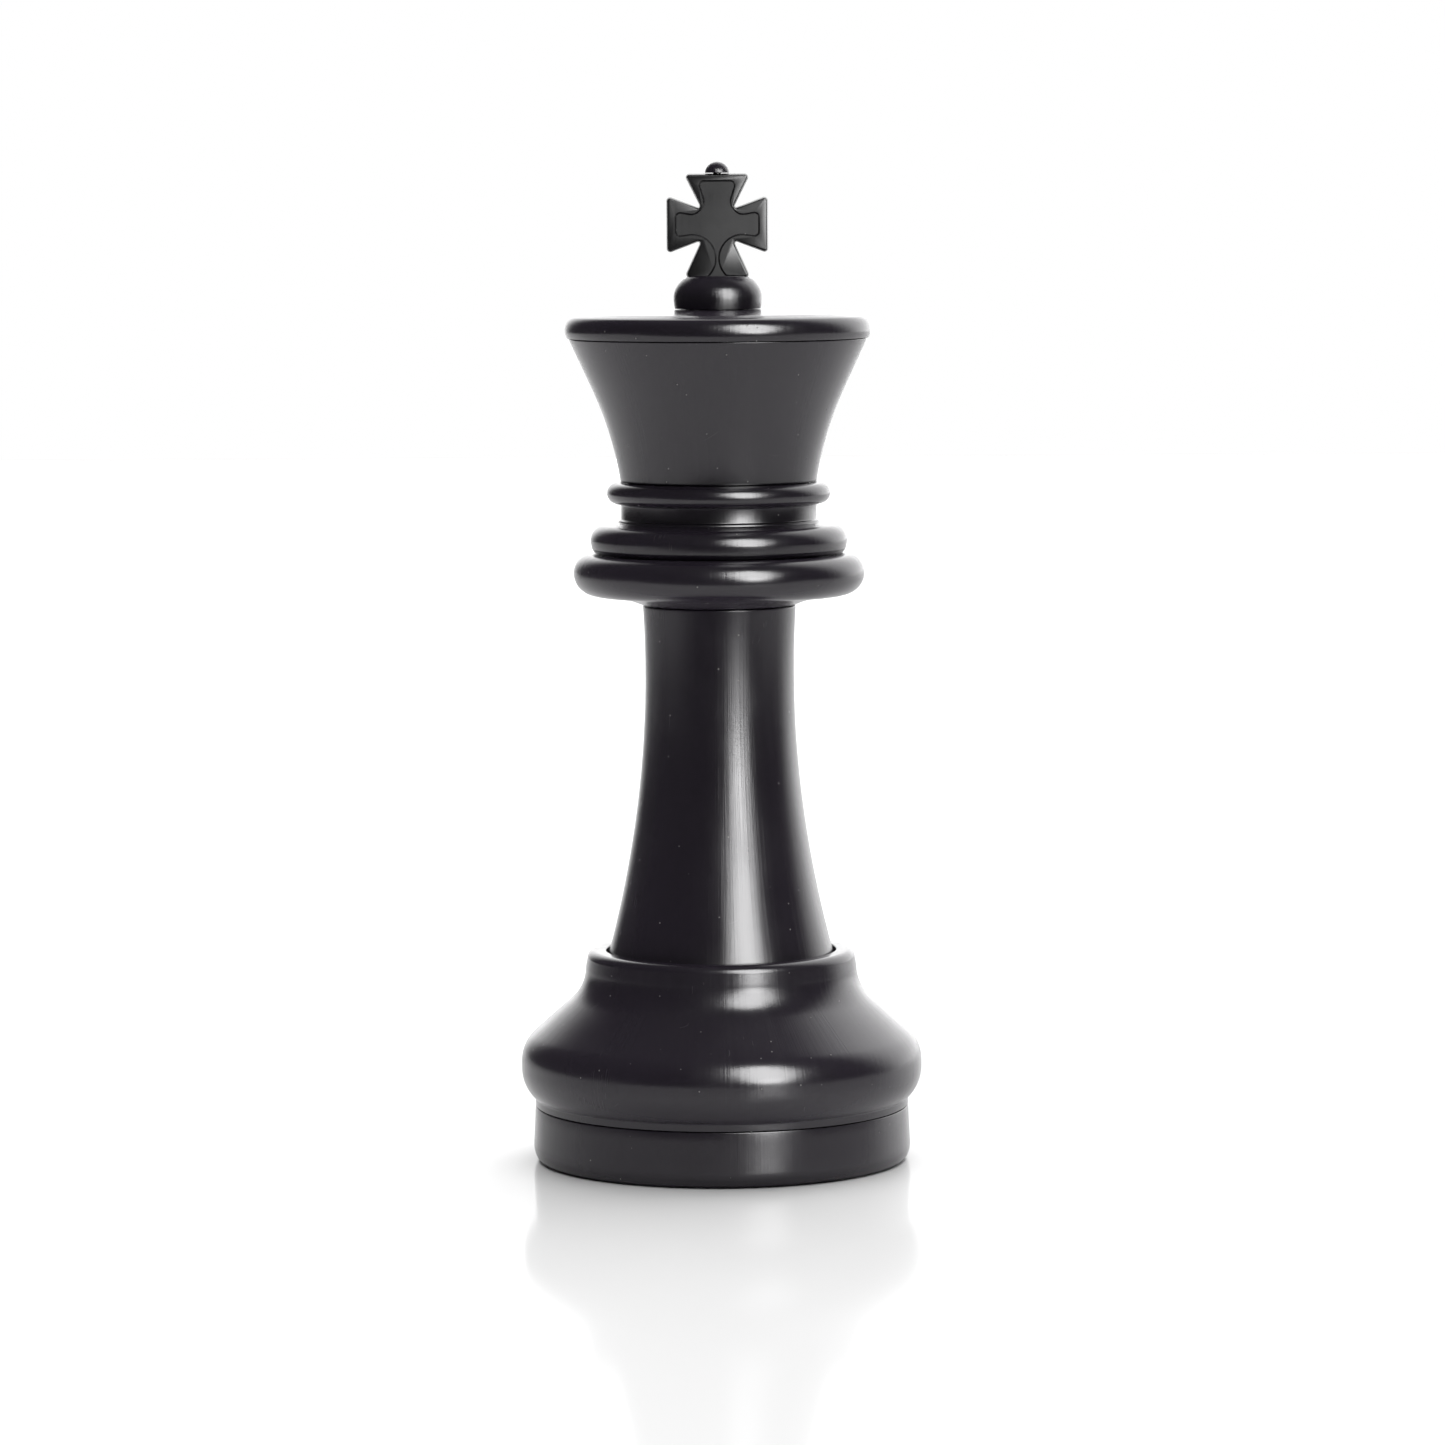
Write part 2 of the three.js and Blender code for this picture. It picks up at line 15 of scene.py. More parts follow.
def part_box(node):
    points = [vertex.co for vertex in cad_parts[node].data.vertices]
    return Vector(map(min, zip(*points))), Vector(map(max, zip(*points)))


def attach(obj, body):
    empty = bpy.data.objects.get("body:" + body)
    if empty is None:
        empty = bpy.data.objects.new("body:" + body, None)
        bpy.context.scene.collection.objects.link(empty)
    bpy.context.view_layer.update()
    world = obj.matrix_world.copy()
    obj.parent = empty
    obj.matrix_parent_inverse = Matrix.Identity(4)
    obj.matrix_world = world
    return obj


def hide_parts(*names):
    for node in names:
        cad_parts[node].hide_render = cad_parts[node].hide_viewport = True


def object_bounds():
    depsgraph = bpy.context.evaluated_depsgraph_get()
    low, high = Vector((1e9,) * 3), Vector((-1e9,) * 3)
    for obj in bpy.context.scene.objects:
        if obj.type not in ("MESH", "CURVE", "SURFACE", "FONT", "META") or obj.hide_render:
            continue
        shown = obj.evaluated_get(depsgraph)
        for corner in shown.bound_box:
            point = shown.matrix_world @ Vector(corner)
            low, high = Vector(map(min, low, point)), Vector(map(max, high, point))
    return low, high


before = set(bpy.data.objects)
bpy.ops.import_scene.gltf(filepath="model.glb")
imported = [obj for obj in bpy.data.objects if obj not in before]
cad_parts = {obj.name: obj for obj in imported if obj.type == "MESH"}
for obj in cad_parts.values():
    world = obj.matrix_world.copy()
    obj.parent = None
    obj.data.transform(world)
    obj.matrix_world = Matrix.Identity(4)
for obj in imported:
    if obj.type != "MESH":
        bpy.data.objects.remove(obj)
cad_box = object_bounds()

MM = 0.001
TURN = 180  # segments in a turn of a visible shell
WALL = 2.6
EDGE = 0.35  # how far a moulded edge is rounded
CRISP = 40  # edges that turn more than this many degrees are not shaded smooth


# ---------------------------------------------------------------- places, from the frame
class Place:
    """A CAD node's largest radius and its lowest and highest points, in millimetres."""

    def __init__(self, node):
        low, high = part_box(node)
        self.radius = high.x / MM
        self.low = low.z / MM
        self.high = high.z / MM


PAN = Place("foot_pan")
BASE = Place("base_shell")
STEM = Place("stem")
COLLAR = Place("collar")
RING = Place("neck_ring")
CUP = Place("crown_cup")
LID = Place("crown_lid")
BULB = Place("finial_bulb")
CROSS = Place("cross")
BALL = Place("ball")
PLUG = Place("fill_plug")


# ---------------------------------------------------------------- outlines
def arc(r, z, across, start, end, up=None, step=5):
    """Points on an arc or an ellipse's arc, from one angle to another in degrees."""
    up = across if up is None else up
    count = max(2, round(abs(end - start) / step))
    angles = [math.radians(start + (end - start) * i / count) for i in range(count + 1)]
    return [(r + across * math.cos(a), z + up * math.sin(a)) for a in angles]


def along(low, high, count, radius_at):
    """Points at even heights on a side whose radius is a function of height."""
    heights = np.linspace(low, high, count + 1)
    return [(radius_at(z), z) for z in heights]


def rounded(outline, closed):
    """The outline with each corner that asks for it turned into a short arc."""
    points = []
    count = len(outline)
    for i, (r, z, *ask) in enumerate(outline):
        inner = closed or 0 < i < count - 1
        if not ask or not inner:
            points.append((r, z))
            continue
        here = Vector((r, z))
        back = Vector(outline[i - 1][:2]) - here
        ahead = Vector(outline[(i + 1) % count][:2]) - here
        half_turn = (math.pi - back.angle(ahead)) / 2
        if half_turn < 0.01:
            points.append((r, z))
            continue
        room = 0.48 * min(back.length, ahead.length)
        radius = min(ask[0], room / math.tan(half_turn))
        middle = (back.normalized() + ahead.normalized()).normalized()
        centre = here + middle * (radius / math.cos(half_turn))
        side = 1 if back.cross(ahead) > 0 else -1
        for t in np.linspace(-half_turn, half_turn, max(4, round(math.degrees(half_turn) / 6))):
            spoke = Vector((-middle.x, -middle.y)) * radius
            spoke.rotate(Matrix.Rotation(-side * t, 2))
            points.append(tuple(centre + spoke))
    return points


def refined(points, closed, longest=4.0):
    """The outline with long stretches divided, so that surface detail has points to move."""
    ends = points[1:] + points[:1] if closed else points[1:]
    result = []
    for (r0, z0), (r1, z1) in zip(points, ends):
        pieces = max(1, math.ceil(math.hypot(r1 - r0, z1 - z0) / longest))
        for k in range(pieces):
            t = k / pieces
            result.append((r0 + (r1 - r0) * t, z0 + (z1 - z0) * t))
    return result if closed else result + [points[-1]]


# ---------------------------------------------------------------- meshes
def lathe(name, outline, relief=None, segments=TURN, longest=4.0):
    """A solid of revolution about Z.

    relief(angle, radius, height) moves a point outwards, in millimetres.
    """
    closed = outline[0][0] > 0
    points = refined(rounded(outline, closed), closed, longest)
    poles = [] if closed else [points[0], points[-1]]
    rings = points if closed else points[1:-1]
    angles = np.linspace(0, 2 * math.pi, segments, endpoint=False)
    verts = []
    for r, z in rings:
        for a in angles:
            out = r + (relief(a, r, z) if relief else 0)
            verts.append((out * math.cos(a) * MM, out * math.sin(a) * MM, z * MM))
    faces = []
    spans = len(rings) if closed else len(rings) - 1
    for i in range(spans):
        here = i * segments
        above = (i + 1) % len(rings) * segments
        for j in range(segments):
            k = (j + 1) % segments
            faces.append((here + j, here + k, above + k, above + j))
    if poles:
        bottom = len(verts)
        verts.extend((0, 0, z * MM) for _, z in poles)
        last = (len(rings) - 1) * segments
        for j in range(segments):
            k = (j + 1) % segments
            faces.append((bottom, k, j))
            faces.append((bottom + 1, last + j, last + k))
    mesh = bpy.data.meshes.new(name)
    mesh.from_pydata(verts, [], faces)
    return finished(name, mesh)


def finished(name, mesh):
    """A smooth-shaded object whose sharp edges are kept crisp."""
    mesh.validate()
    mesh.shade_smooth()
    mesh.set_sharp_from_angle(angle=math.radians(CRISP))
    piece = bpy.data.objects.new(name, mesh)
    bpy.context.scene.collection.objects.link(piece)
    return piece


def helix(pitch, turns, foot, crest, low, depth):
    """Relief of one screw ridge: depth is positive on a spigot and negative in a socket."""

    def relief(angle, _, z):
        turn = angle / (2 * math.pi)
        lap = round((z - low) / pitch - turn)
        along_ridge = turn + lap
        from_middle = abs(z - low - along_ridge * pitch)
        side = (foot / 2 - from_middle) / (foot / 2 - crest / 2)
        end = min(along_ridge, turns - along_ridge) * 12
        return depth * max(0.0, min(1.0, side)) * max(0.0, min(1.0, end))

    return relief


def waviness(seed, amount=0.035):
    """The slight unevenness of a blow-moulded wall."""
    offset = Vector((seed * 7.3, seed * 3.1, seed * 5.7))

    def relief(angle, r, z):
        point = Vector((r * math.cos(angle), r * math.sin(angle), z * 0.6)) * 0.03
        return amount * noise.noise(point + offset)

    return relief


def place(piece, node, body, material):
    """Puts a piece on its body in place of its CAD node."""
    piece.data.materials.append(material)
    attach(piece, body)
    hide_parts(node)
    return piece


# ---------------------------------------------------------------- materials
class Nodes:
    """Short names for building a material's node tree."""

    def __init__(self, name):
        self.material = bpy.data.materials.new(name)
        self.material.use_nodes = True
        self.tree = self.material.node_tree
        self.shader = self.tree.nodes["Principled BSDF"]

    def new(self, kind, **settings):
        node = self.tree.nodes.new(kind)
        for key, value in settings.items():
            setattr(node, key, value)
        return node

    def link(self, source, target):
        self.tree.links.new(source, target)

    def math(self, operation, first, second=None):
        node = self.new("ShaderNodeMath", operation=operation)
        for socket, value in zip(node.inputs, (first, second)):
            if hasattr(value, "is_output"):
                self.link(value, socket)
            elif value is not None:
                socket.default_value = value
        return node.outputs[0]

    def scaled(self, source, x, y, z):
        node = self.new("ShaderNodeVectorMath", operation="MULTIPLY")
        node.inputs[1].default_value = (x, y, z)
        self.link(source, node.inputs[0])
        return node.outputs[0]

    def noise(self, source, scale, detail=2.0, roughness=0.5):
        node = self.new("ShaderNodeTexNoise")
        node.inputs["Scale"].default_value = scale
        node.inputs["Detail"].default_value = detail
        node.inputs["Roughness"].default_value = roughness
        self.link(source, node.inputs["Vector"])
        return node.outputs["Fac"]

    def remap(self, value, low, high, to_low, to_high):
        node = self.new("ShaderNodeMapRange")
        for name, number in zip(("From Min", "From Max", "To Min", "To Max"), (low, high, to_low, to_high)):
            node.inputs[name].default_value = number
        self.link(value, node.inputs["Value"])
        return node.outputs["Result"]

    def bump(self, height, distance, strength=1.0, under=None):
        node = self.new("ShaderNodeBump")
        node.inputs["Distance"].default_value = distance
        node.inputs["Strength"].default_value = strength
        self.link(height, node.inputs["Height"])
        if under:
            self.link(under, node.inputs["Normal"])
        return node.outputs["Normal"]

    def colour(self, fac, low, high):
        node = self.new("ShaderNodeMix", data_type="RGBA")
        self.link(fac, node.inputs["Factor"])
        node.inputs["A"].default_value = (*low, 1)
        node.inputs["B"].default_value = (*high, 1)
        return node.outputs["Result"]


DIE_LINES = 110  # how finely the wall's vertical flow lines are spaced round the axis


def moulded_plastic(name, tint, roughness, line_depth=0.09, wear=1.0):
    """Black polyethylene: flow lines up the wall, faint orange peel, handling marks, hair scratches, dust."""
    n = Nodes(name)
    place_in = n.new("ShaderNodeTexCoord").outputs["Object"]
    flat = n.scaled(place_in, 1, 1, 0)
    outward = n.new("ShaderNodeVectorMath", operation="NORMALIZE")
    n.link(flat, outward.inputs[0])
    round_axis = n.new("ShaderNodeVectorMath", operation="ADD")
    n.link(n.scaled(outward.outputs[0], DIE_LINES, DIE_LINES, 0), round_axis.inputs[0])
    n.link(n.scaled(place_in, 0, 0, 6), round_axis.inputs[1])
    lines = n.noise(round_axis.outputs[0], 1.0, 3, 0.6)
    peel = n.noise(place_in, 420, 2, 0.5)
    smudges = n.noise(place_in, 26, 4, 0.62)
    mottle = n.noise(place_in, 9, 2, 0.5)

    scratch = hair_scratches(n, place_in, wear)
    dust = dust_specks(n, place_in, wear)

    n.shader.inputs["IOR"].default_value = 1.53
    low = tuple(c * 0.8 for c in tint)
    worn = tuple(c * 1.5 + 0.004 for c in tint)
    body = n.colour(n.remap(mottle, 0.3, 0.7, 0, 1), low, tint)
    scuffed = n.new("ShaderNodeMix", data_type="RGBA")
    n.link(scratch, scuffed.inputs["Factor"])
    n.link(body, scuffed.inputs["A"])
    scuffed.inputs["B"].default_value = (*worn, 1)
    dusty = n.new("ShaderNodeMix", data_type="RGBA")
    n.link(dust, dusty.inputs["Factor"])
    n.link(scuffed.outputs["Result"], dusty.inputs["A"])
    dusty.inputs["B"].default_value = (0.2, 0.19, 0.19, 1)
    n.link(dusty.outputs["Result"], n.shader.inputs["Base Color"])

    satin = n.remap(smudges, 0.32, 0.7, roughness - 0.045, roughness + 0.055)
    lined = n.math("ADD", satin, n.remap(lines, 0.35, 0.65, -0.02, 0.03))
    marked = n.math("ADD", lined, n.math("MULTIPLY", scratch, 0.12))
    n.link(n.math("ADD", marked, n.math("MULTIPLY", dust, 0.5)), n.shader.inputs["Roughness"])

    normal = n.bump(lines, line_depth * MM, 0.5)
    normal = n.bump(peel, 0.006 * MM, 0.5, normal)
    normal = n.bump(n.math("SUBTRACT", 1.0, scratch), 0.01 * MM, 0.5, normal)
    n.link(normal, n.shader.inputs["Normal"])
    return n.material


def hair_scratches(n, place_in, wear):
    """Thin broken curves: the middle level of a stretched noise, kept where a second noise is high."""
    total = None
    for turn, stretch in ((0.5, (9, 9, 95)), (1.9, (110, 12, 14)), (2.7, (14, 95, 20))):
        turned = n.new("ShaderNodeVectorRotate", rotation_type="EULER_XYZ")
        turned.inputs["Rotation"].default_value = (turn, turn * 0.6, turn * 1.7)
        n.link(place_in, turned.inputs["Vector"])
        field = n.noise(n.scaled(turned.outputs[0], *stretch), 1.0, 1.0, 0.4)
        off_line = n.math("ABSOLUTE", n.math("SUBTRACT", field, 0.5))
        line = n.remap(off_line, 0.0, 0.0016, 1.0, 0.0)
        where = n.noise(turned.outputs[0], 62, 1, 0.5)
        kept = n.math("MULTIPLY", line, n.remap(where, 0.64, 0.74, 0.0, 0.6 * wear))
        total = kept if total is None else n.math("MAXIMUM", total, kept)
    return total


def dust_specks(n, place_in, wear):
    """Small pale specks in about one cell in five."""
    cells = n.new("ShaderNodeTexVoronoi", feature="F1")
    cells.inputs["Scale"].default_value = 250
    n.link(place_in, cells.inputs["Vector"])
    near = n.remap(cells.outputs["Distance"], 0.06, 0.09, 1.0, 0.0)
    split = n.new("ShaderNodeSeparateColor")
    n.link(cells.outputs["Color"], split.inputs[0])
    chosen = n.remap(split.outputs[0], 0.78, 0.79, 0.0, wear)
    return n.math("MULTIPLY", near, chosen)


def rubber(name):
    """Matt black rubber with a fine grain."""
    n = Nodes(name)
    place_in = n.new("ShaderNodeTexCoord").outputs["Object"]
    grain = n.noise(place_in, 900, 3, 0.6)
    n.link(n.colour(grain, (0.012, 0.012, 0.012), (0.03, 0.03, 0.029)), n.shader.inputs["Base Color"])
    n.link(n.remap(grain, 0.3, 0.7, 0.7, 0.88), n.shader.inputs["Roughness"])
    n.link(n.bump(grain, 0.03 * MM), n.shader.inputs["Normal"])
    return n.material


def zinc(name):
    """Zinc plate with a brushed grain round the screw."""
    n = Nodes(name)
    place_in = n.new("ShaderNodeTexCoord").outputs["Object"]
    grain = n.noise(n.scaled(place_in, 90, 90, 2400), 1.0, 3, 0.6)
    n.shader.inputs["Metallic"].default_value = 1
    n.link(n.colour(grain, (0.46, 0.47, 0.48), (0.66, 0.66, 0.64)), n.shader.inputs["Base Color"])
    n.link(n.remap(grain, 0.3, 0.7, 0.26, 0.42), n.shader.inputs["Roughness"])
    n.link(n.bump(grain, 0.01 * MM), n.shader.inputs["Normal"])
    return n.material


SHELL_BLACK = moulded_plastic("shell_black", (0.0258, 0.0205, 0.0305), 0.2)
CROSS_BLACK = moulded_plastic("cross_black", (0.017, 0.0165, 0.0185), 0.33, line_depth=0.0, wear=0.8)
PLUG_BLACK = moulded_plastic("plug_black", (0.016, 0.016, 0.017), 0.42, line_depth=0.0, wear=0.5)
WASHER_BLACK = rubber("washer_black")
ZINC_PLATE = zinc("zinc_plate")


# ---------------------------------------------------------------- the base
SEAM_GAP = 0.3
STAND_INNER = 63
STAND_OUTER = 73.5
PAN_FLOOR = 5  # underside of the raised floor
BASE_THREAD = dict(pitch=8, turns=1.1, foot=3.2, crest=1.6)
HEAD_THREAD = dict(pitch=6, turns=1.1, foot=2.4, crest=1.2)
PLUG_THREAD = dict(pitch=4.5, turns=1.2, foot=1.7, crest=0.9)


def on_wall(radius, relief):
    """A relief that only acts where the wall has this radius."""
    return lambda angle, r, z: relief(angle, r, z) if abs(r - radius) < 0.05 else 0.0


def both(first, second):
    return lambda angle, r, z: first(angle, r, z) + second(angle, r, z)


def foot_pan():
    seam = BASE.low - SEAM_GAP
    top_radius = PAN.radius - 0.7
    lip = top_radius - 2.1
    bore = 18.3
    neck_high = 15.6
    floor_top = PAN_FLOOR + WALL
    outline = [
        (bore, PAN_FLOOR, EDGE),
        (STAND_INNER - 2, PAN_FLOOR, 1.5),
        (STAND_INNER, 0, 0.6),
        *arc(STAND_OUTER, 6.5, PAN.radius - STAND_OUTER, -90, 0, up=6.5),
        (top_radius, seam, EDGE),
        (lip, seam, 0.3),
        (lip, PAN.high, 0.6),
        (lip - 2.2, PAN.high, 0.6),
        (lip - 2.2, seam - 4, 2),
        (top_radius - WALL, seam - 7, 2),
        (top_radius - WALL, floor_top, 3),
        (bore + WALL, floor_top, 2),
        (bore + WALL, neck_high, 0.5),
        (bore, neck_high, 0.5),
        *along(neck_high - 0.6, PAN_FLOOR + 0.6, 36, lambda z: bore),
    ]
    thread = on_wall(bore, helix(low=9.15, depth=-1.4, **PLUG_THREAD))
    pan = lathe("foot_pan_moulding", outline, both(thread, outer_only(top_radius - 0.2, waviness(1))))
    return place(pan, "foot_pan", "base", SHELL_BLACK)


def outer_only(radius, relief):
    """A relief that only acts outside a radius, so that fits between pieces stay true."""
    return lambda angle, r, z: relief(angle, r, z) if r > radius else 0.0


def base_shell():
    skirt = 74.6
    top_radius = PAN.radius - 0.7
    belly = BASE.radius - 0.02  # drawn in a little, so that the wall's unevenness stays inside the CAD
    low_arc = (belly - 16.3, 38, 16.3)
    high_arc = (belly - 15, 41, 15)
    slope = 48.4
    rim = (51.1, BASE.high - 3.6, 3.6)
    hollow = (73.3, 79.4, 18)
    crease = -math.degrees(math.acos((top_radius - low_arc[0]) / low_arc[2]))
    inner_crease = -math.degrees(math.acos((skirt - low_arc[0]) / (low_arc[2] - WALL)))
    recess = 46.9
    seat = 82.2
    bore = 43.2
    socket_low = 64.4
    outline = [
        (skirt, BASE.low, 0.3),
        (top_radius, BASE.low, EDGE),
        (top_radius, low_arc[1] + low_arc[2] * math.sin(math.radians(crease)) - 0.1, 0.7),
        *arc(*low_arc, crease + 3, 0),
        *arc(*high_arc, 0, slope),
        *arc(*hollow, 180 + slope, 180),
        *arc(*rim, 0, 90),
        (recess, BASE.high, 0.7),
        (recess, seat, 0.8),
        (bore, seat, 0.4),
        *along(seat - 0.6, socket_low + 0.6, 66, lambda z: bore),
        (bore, socket_low, 0.6),
        (bore + WALL, socket_low, 0.6),
        (bore + WALL, seat - WALL, 2),
        *arc(hollow[0], hollow[1], hollow[2] + WALL, 180, 180 + slope),
        *arc(high_arc[0], high_arc[1], high_arc[2] - WALL, slope, 0),
        *arc(low_arc[0], low_arc[1], low_arc[2] - WALL, 0, inner_crease),
    ]
    thread = on_wall(bore, helix(low=70.8, depth=-1.4, **BASE_THREAD))
    shell = lathe("base_bell", outline, both(thread, outer_only(54, waviness(2))))
    return place(shell, "base_shell", "base", SHELL_BLACK)


def washer(name, node, body, inner):
    spot = Place(node)
    corners = [
        (inner, spot.low, 0.3),
        (spot.radius, spot.low, 0.3),
        (spot.radius, spot.high, 0.3),
        (inner, spot.high, 0.3),
    ]
    return place(lathe(name, corners, segments=96), node, body, WASHER_BLACK)


# ---------------------------------------------------------------- the stem
def stem_radius(z):
    """The stem's waisted side: a parabola, thinnest a little below the collar."""
    waist, waist_height, bend = 30.3, 200, 425
    return waist + (z - waist_height) ** 2 / (2 * bend)


def stem():
    foot = 84.2
    top = COLLAR.low - SEAM_GAP
    spigot = 41
    neck = 22.4
    outline = [
        (0, STEM.low),
        (spigot, STEM.low, 1.2),
        *along(STEM.low + 2, foot - 1, 66, lambda z: spigot),
        (spigot, foot, 0.4),
        (stem_radius(foot), foot, 0.6),
        *along(foot + 2, top - 1, 60, stem_radius),
        (stem_radius(top), top, 0.4),
        (neck, top, 0.3),
        *along(top + 1, STEM.high - 1, 50, lambda z: neck),
        (neck, STEM.high, 0.6),
        (neck - WALL, STEM.high, 0.6),
        (neck - WALL, top - WALL, 2),
        *along(top - WALL, foot + 6, 20, lambda z: stem_radius(z) - WALL),
        (spigot - WALL, foot, 2),
        (spigot - WALL, STEM.low + WALL, 2),
        (0, STEM.low + WALL),
    ]
    lower = on_wall(spigot, helix(low=66.8, depth=1.6, **BASE_THREAD))
    upper = on_wall(neck, helix(low=234, depth=1.5, **HEAD_THREAD))
    side = waviness(3, 0.05)

    def blown(angle, r, z):
        return side(angle, r, z) if foot + 1 < z < top - 1 else 0.0

    piece = lathe("stem_moulding", outline, both(both(lower, upper), blown))
    return place(piece, "stem", "stem", SHELL_BLACK)


# ---------------------------------------------------------------- the collar and neck ring
COLLAR_MOUTH = 41.2  # radius of the opening in the collar's top that the neck ring stands in


def collar():
    low_arc = (COLLAR.radius - 8.9, 240.3, 8.9)
    high_arc = (COLLAR.radius - 7.4, 240.8, 7.4)
    counterbore = 29.9
    ceiling = COLLAR.low + 1.7
    bore = 24.4
    mouth = COLLAR_MOUTH
    floor_top = low_arc[1] - low_arc[2] + WALL
    socket_top = STEM.high + 0.8
    outline = [
        (counterbore, COLLAR.low, 0.3),
        (31.1, COLLAR.low, 0.3),
        (35.7, 229, 4),
        (42, 230.8, 6),
        *arc(*low_arc, -84, 0),
        *arc(*high_arc, 0, 90),
        (mouth, COLLAR.high, 0.5),
        (mouth, COLLAR.high - WALL, 0.5),
        *arc(high_arc[0], high_arc[1], high_arc[2] - WALL, 90, 0, step=12),
        *arc(low_arc[0], low_arc[1], low_arc[2] - WALL, 0, -90, step=12),
        (bore + WALL, floor_top, 1.5),
        (bore + WALL, socket_top, 0.5),
        (bore, socket_top, 0.5),
        *along(socket_top - 0.6, ceiling + 0.6, 56, lambda z: bore),
        (bore, ceiling, 0.3),
        (counterbore, ceiling, 0.5),
    ]
    thread = on_wall(bore, helix(low=231, depth=-1.3, **HEAD_THREAD))
    ring = lathe("collar_moulding", outline, both(thread, outer_only(45, waviness(4, 0.025))))
    return place(ring, "collar", "head", SHELL_BLACK)


def neck_ring():
    ring_low = COLLAR.high + SEAM_GAP
    mouth = COLLAR_MOUTH - 0.4
    neck = 39.8
    bead_z = RING.high - 4.4
    inner = neck - WALL
    shoulder = (RING.radius - 6.5, 253.6, 6.5)
    outline = [
        (mouth - 2.4, RING.low, 0.6),
        (mouth, RING.low, 0.6),
        (mouth, ring_low, 0.3),
        (50.3, ring_low, 0.4),
        (51.7, ring_low + 1.8, 2),
        *arc(*shoulder, 0, 86),
        (neck + 1.1, 260.9, 0.6),
        (neck + 0.9, 261.8, 0.5),
        (neck, 262.3, 0.8),
        (neck, bead_z - 4.5, 0.5),
        *arc(41, bead_z, 4.4, -84, 84, step=8),
        (40.5, RING.high, 0.5),
        (inner, RING.high, 0.6),
        (inner, 262, 1.5),
        *arc(shoulder[0], shoulder[1], 6.5 - WALL, 75, 0, step=15),
        (mouth - 2.4, ring_low + WALL, 1),
    ]
    ring = lathe("neck_ring_moulding", outline, outer_only(39, waviness(5, 0.02)))
    return place(ring, "neck_ring", "head", SHELL_BLACK)


# ---------------------------------------------------------------- the crown
def flare(z):
    """The crown's side: concave, then straight from a little above half height."""
    turn_z, turn_radius, slope = 314, 50.7, 0.46
    if z >= turn_z:
        return turn_radius + slope * (z - turn_z)
    return 174.1 - math.sqrt(135.8 ** 2 - (z - 257.2) ** 2)


def crown_cup():
    spigot = 36.6
    side_low = CUP.low + 13.5
    cup_top = 335.2
    lip = 58.5
    outline = [
        (spigot - WALL, CUP.low, 0.6),
        (spigot, CUP.low, 0.6),
        (spigot, side_low, 0.3),
        (flare(side_low), side_low, EDGE),
        *along(side_low + 1, cup_top - 1, 40, flare),
        (flare(cup_top), cup_top, 0.3),
        (lip, cup_top, 0.3),
        (lip, CUP.high, 0.5),
        (lip - 2.3, CUP.high, 0.5),
        (lip - 2.3, cup_top - 1.5, 2),
        *along(cup_top - 6, side_low + 2, 16, lambda z: flare(z) - WALL - 0.4),
    ]
    cup = lathe("crown_moulding", outline, outer_only(39, waviness(6, 0.045)))
    return place(cup, "crown_cup", "crown", SHELL_BLACK)


def crown_lid():
    """The domed lid: a rolled edge, a shallow dome and the socket for the finial's peg."""
    skirt = 59.1
    skirt_low = 335.28
    edge = (57.8, 339, LID.radius - 57.8)
    dome_top, bend = 347, 900
    bore = 8.3
    socket = bore + WALL

    def dome(r):
        return dome_top - r ** 2 / (2 * bend)

    outline = [
        (skirt, skirt_low, 0.1),
        *arc(*edge, -40, 66, up=5.5),
        (53.4, dome(53.4) + 0.05, 6),
        *[(r, dome(r)) for r in np.linspace(48, bore + 1, 16)],
        (bore, dome(bore), 0.5),
        (bore, LID.low, 0.5),
        (socket, LID.low, 0.5),
        (socket, dome(socket) - WALL, 1.5),
        *[(r, dome(r) - WALL) for r in np.linspace(socket + 3, 50, 10)],
        (skirt, 339.9, 0.8),
    ]
    lid = lathe("crown_lid_moulding", outline, outer_only(12, waviness(7, 0.04)))
    keyway = box_solid("keyway", (3, 3, 30), (0, bore + 0.2, LID.low + 12))
    combine(lid, "DIFFERENCE", keyway)
    return place(lid, "crown_lid", "crown", SHELL_BLACK)


# ---------------------------------------------------------------- the finial
CROSS_THICK = 9
TANG_WIDTH = 13
TANG_THICK = 5.4
TANG_LOW = 351.3
SEAT_DEPTH = 1  # how far the cross's foot is sunk in the bulb


def box_solid(name, size, centre):
    """A box used to cut or join, sizes and centre in millimetres."""
    mesh = bpy.data.meshes.new(name)
    shape = bmesh.new()
    bmesh.ops.create_cube(shape, size=1)
    bmesh.ops.scale(shape, vec=Vector(size) * MM, verts=shape.verts)
    bmesh.ops.translate(shape, vec=Vector(centre) * MM, verts=shape.verts)
    shape.to_mesh(mesh)
    shape.free()
    return finished(name, mesh)


def combine(piece, operation, *tools):
    """Cuts or joins solids into a piece, and removes them."""
    for tool in tools:
        modifier = piece.modifiers.new("combine", "BOOLEAN")
        modifier.operation = operation
        modifier.object = tool
        modifier.solver = "EXACT"
        result = piece.evaluated_get(bpy.context.evaluated_depsgraph_get())
        mesh = bpy.data.meshes.new_from_object(result)
        piece.modifiers.clear()
        piece.data = mesh
        bpy.data.objects.remove(tool)
    piece.data.name = piece.name
    piece.data.shade_smooth()
    piece.data.set_sharp_from_angle(angle=math.radians(CRISP))
    return piece


